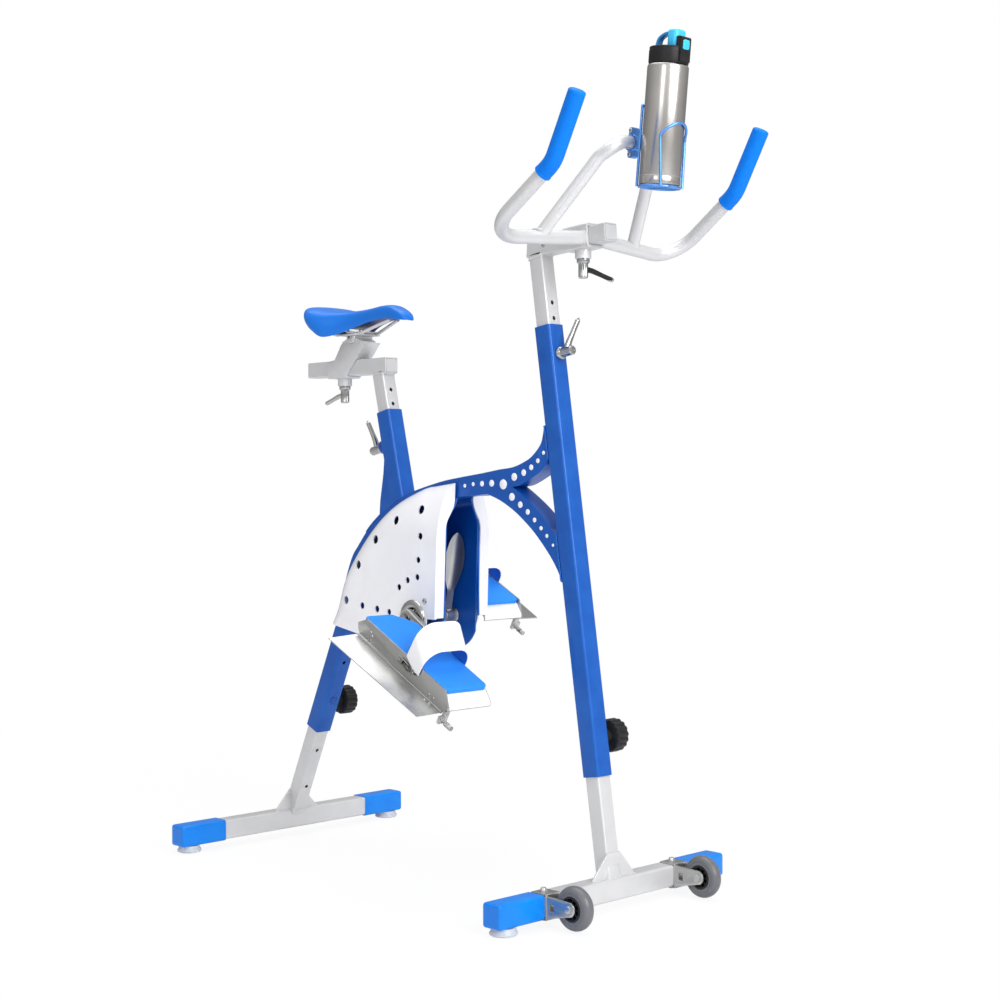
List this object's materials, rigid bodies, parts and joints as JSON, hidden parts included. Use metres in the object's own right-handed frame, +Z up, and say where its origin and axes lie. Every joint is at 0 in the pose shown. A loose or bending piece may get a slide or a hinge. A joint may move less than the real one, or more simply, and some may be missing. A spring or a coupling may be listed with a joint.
{
  "type": "water exercise bike",
  "caption": "Underwater exercise bike on two crossbars: arched tube frame, domed casing with spoon blades on the crank, wide strap pedals, adjustable saddle and handlebar, caged bottle.",
  "frame": {"origin": "centre of the bounding box's floor plane, on the bike's middle plane", "axes": "+X forward to the handlebar, +Y to the rider's left, +Z up"},
  "size_m": [1.1572, 0.6, 1.5623],
  "materials": {
    "frame_blue": "metallic blue powder coat",
    "silver": "satin silver coat",
    "white": "glossy white moulding",
    "chrome": "polished",
    "steel": "brushed stainless",
    "cap_blue": "bright blue moulding",
    "black": "fine texture",
    "tyre": "translucent grey",
    "pad_blue": "soft blue foam",
    "saddle_blue": "smooth blue cover",
    "strap_white": "white band",
    "cyan": "cyan moulding",
    "cage_blue": "blue anodised",
    "foot_white": "translucent white"
  },
  "bodies": {
    "frame": {"front_tube": "frame_blue", "rear_tube": "frame_blue", "main_beam": "frame_blue", "seat_tube": "frame_blue", "casing_shell_right": "frame_blue", "casing_shell_left": "frame_blue", "cover_right": "white", "cover_left": "white", "hub_cup_right": "chrome", "hub_cup_left": "chrome"},
    "front_stand": {"front_stand": "silver", "front_cap_right": "cap_blue", "front_cap_left": "cap_blue", "front_foot_right": "foot_white", "front_foot_left": "foot_white", "wheel_bracket_right": "steel", "wheel_bracket_left": "steel"},
    "wheel_right": {"tyre_right": "tyre", "wheel_hub_right": "black"},
    "wheel_left": {"tyre_left": "tyre", "wheel_hub_left": "black"},
    "rear_stand": {"rear_stand": "silver", "rear_cap_right": "cap_blue", "rear_cap_left": "cap_blue", "rear_foot_right": "foot_white", "rear_foot_left": "foot_white"},
    "front_knob": {"front_knob": "black"},
    "rear_knob": {"rear_knob": "black"},
    "front_tube_lever": {"front_tube_lever": "chrome"},
    "seat_tube_lever": {"seat_tube_lever": "chrome"},
    "seat_post": {"seat_post": "silver"},
    "seat_carriage": {"seat_carriage": "silver"},
    "seat_slide_lever": {"seat_slide_lever": "chrome"},
    "saddle": {"saddle_rails": "steel", "saddle": "saddle_blue"},
    "bar_post": {"bar_post": "silver"},
    "handlebar": {"bar_sleeve": "silver", "handlebar": "silver", "grip_right": "pad_blue", "grip_left": "pad_blue", "bottle_cage": "cage_blue"},
    "bar_slide_lever": {"bar_slide_lever": "chrome"},
    "bottle": {"bottle": "steel", "bottle_lid": "black"},
    "flip_cap": {"bottle_flip_cap": "cyan"},
    "bottle_button": {"bottle_button": "cyan"},
    "crank": {"impeller_shaft": "steel", "crank_arm_right": "steel", "crank_arm_left": "steel"},
    "pedal_right": {"pedal_pan_right": "steel", "foot_pad_right": "pad_blue", "foot_strap_right": "strap_white"},
    "fin_right": {"pedal_fin_right": "steel"},
    "plunger_right": {"plunger_right": "chrome"},
    "pedal_left": {"pedal_pan_left": "steel", "foot_pad_left": "pad_blue", "foot_strap_left": "strap_white"},
    "fin_left": {"pedal_fin_left": "steel"},
    "plunger_left": {"plunger_left": "chrome"}
  },
  "joints": [
    {"name": "front_leg_slide", "type": "slide", "parent": "frame", "child": "front_stand", "axis": [0.1461, 0, -0.9893], "range_m": [-0.11, 0.08]},
    {"name": "rear_leg_slide", "type": "slide", "parent": "frame", "child": "rear_stand", "axis": [-0.4163, 0, -0.9092], "range_m": [-0.07, 0.08]},
    {"name": "wheel_right_roll", "type": "hinge", "parent": "front_stand", "child": "wheel_right", "pos_m": [0.46944, -0.172, 0.0415], "axis": [0, 1, 0], "continuous": true},
    {"name": "wheel_left_roll", "type": "hinge", "parent": "front_stand", "child": "wheel_left", "pos_m": [0.46944, 0.172, 0.0415], "axis": [0, 1, 0], "continuous": true},
    {"name": "front_knob_turn", "type": "hinge", "parent": "frame", "child": "front_knob", "pos_m": [0.35321, 0, 0.30525], "axis": [0, 1, 0], "continuous": true},
    {"name": "rear_knob_turn", "type": "hinge", "parent": "frame", "child": "rear_knob", "pos_m": [-0.43201, 0, 0.3017], "axis": [0, 1, 0], "continuous": true},
    {"name": "front_tube_lever_swing", "type": "hinge", "parent": "frame", "child": "front_tube_lever", "pos_m": [0.26884, 0, 1.01352], "axis": [0.9893, 0, 0.1461], "range_deg": [-90, 90]},
    {"name": "seat_tube_lever_swing", "type": "hinge", "parent": "frame", "child": "seat_tube_lever", "pos_m": [-0.23895, 0, 0.84554], "axis": [-0.9732, 0, -0.23], "range_deg": [-90, 90]},
    {"name": "seat_slide_lever_swing", "type": "hinge", "parent": "seat_carriage", "child": "seat_slide_lever", "pos_m": [-0.36336, 0, 0.977], "axis": [0, 0, -1], "range_deg": [-90, 90]},
    {"name": "bar_slide_lever_swing", "type": "hinge", "parent": "handlebar", "child": "bar_slide_lever", "pos_m": [0.33014, 0, 1.1836], "axis": [0, 0, -1], "range_deg": [-30, 90]},
    {"name": "seat_height", "type": "slide", "parent": "frame", "child": "seat_post", "axis": [-0.23, 0, 0.9732], "range_m": [-0.025, 0.06]},
    {"name": "seat_fore_aft", "type": "slide", "parent": "seat_post", "child": "seat_carriage", "axis": [1, 0, 0], "range_m": [-0.07, 0.06]},
    {"name": "saddle_tilt", "type": "hinge", "parent": "seat_carriage", "child": "saddle", "pos_m": [-0.31456, 0, 1.077], "axis": [0, 1, 0], "range_deg": [-10, 10]},
    {"name": "handlebar_height", "type": "slide", "parent": "frame", "child": "bar_post", "axis": [-0.1461, 0, 0.9893], "range_m": [-0.05, 0.09]},
    {"name": "handlebar_fore_aft", "type": "slide", "parent": "bar_post", "child": "handlebar", "axis": [0.9974, 0, 0.0715], "range_m": [-0.05, 0.03]},
    {"name": "bottle_lift_out", "type": "slide", "parent": "handlebar", "child": "bottle", "axis": [0.1011, 0, 0.9949], "range_m": [0, 0.22]},
    {"name": "flip_cap_open", "type": "hinge", "parent": "bottle", "child": "flip_cap", "pos_m": [0.51265, 0, 1.53571], "axis": [0, -1, 0], "range_deg": [0, 85]},
    {"name": "button_press", "type": "slide", "parent": "bottle", "child": "bottle_button", "axis": [-0.9949, 0, 0.1011], "range_m": [0, 0.002], "stiffness_N_per_m": 600, "springref_m": -0.001},
    {"name": "crank_turn", "type": "hinge", "parent": "frame", "child": "crank", "pos_m": [-0.06756, 0, 0.506], "axis": [0, 1, 0], "continuous": true},
    {"name": "pedal_right_spin", "type": "hinge", "parent": "crank", "child": "pedal_right", "pos_m": [0.04363, 0, 0.43866], "axis": [0, 1, 0], "continuous": true},
    {"name": "fin_right_fold", "type": "hinge", "parent": "pedal_right", "child": "fin_right", "pos_m": [0.03495, -0.204, 0.42232], "axis": [0.8829, 0, -0.4695], "range_deg": [0, 90]},
    {"name": "plunger_right_pull", "type": "slide", "parent": "pedal_right", "child": "plunger_right", "axis": [0.8829, 0, -0.4695], "range_m": [0, 0.006], "stiffness_N_per_m": 400, "springref_m": -0.002},
    {"name": "pedal_left_spin", "type": "hinge", "parent": "crank", "child": "pedal_left", "pos_m": [-0.17876, 0, 0.57334], "axis": [0, 1, 0], "continuous": true},
    {"name": "fin_left_fold", "type": "hinge", "parent": "pedal_left", "child": "fin_left", "pos_m": [-0.18745, 0.204, 0.55701], "axis": [-0.8829, 0, 0.4695], "range_deg": [0, 90]},
    {"name": "plunger_left_pull", "type": "slide", "parent": "pedal_left", "child": "plunger_left", "axis": [0.8829, 0, -0.4695], "range_m": [0, 0.006], "stiffness_N_per_m": 400, "springref_m": -0.002}
  ]
}
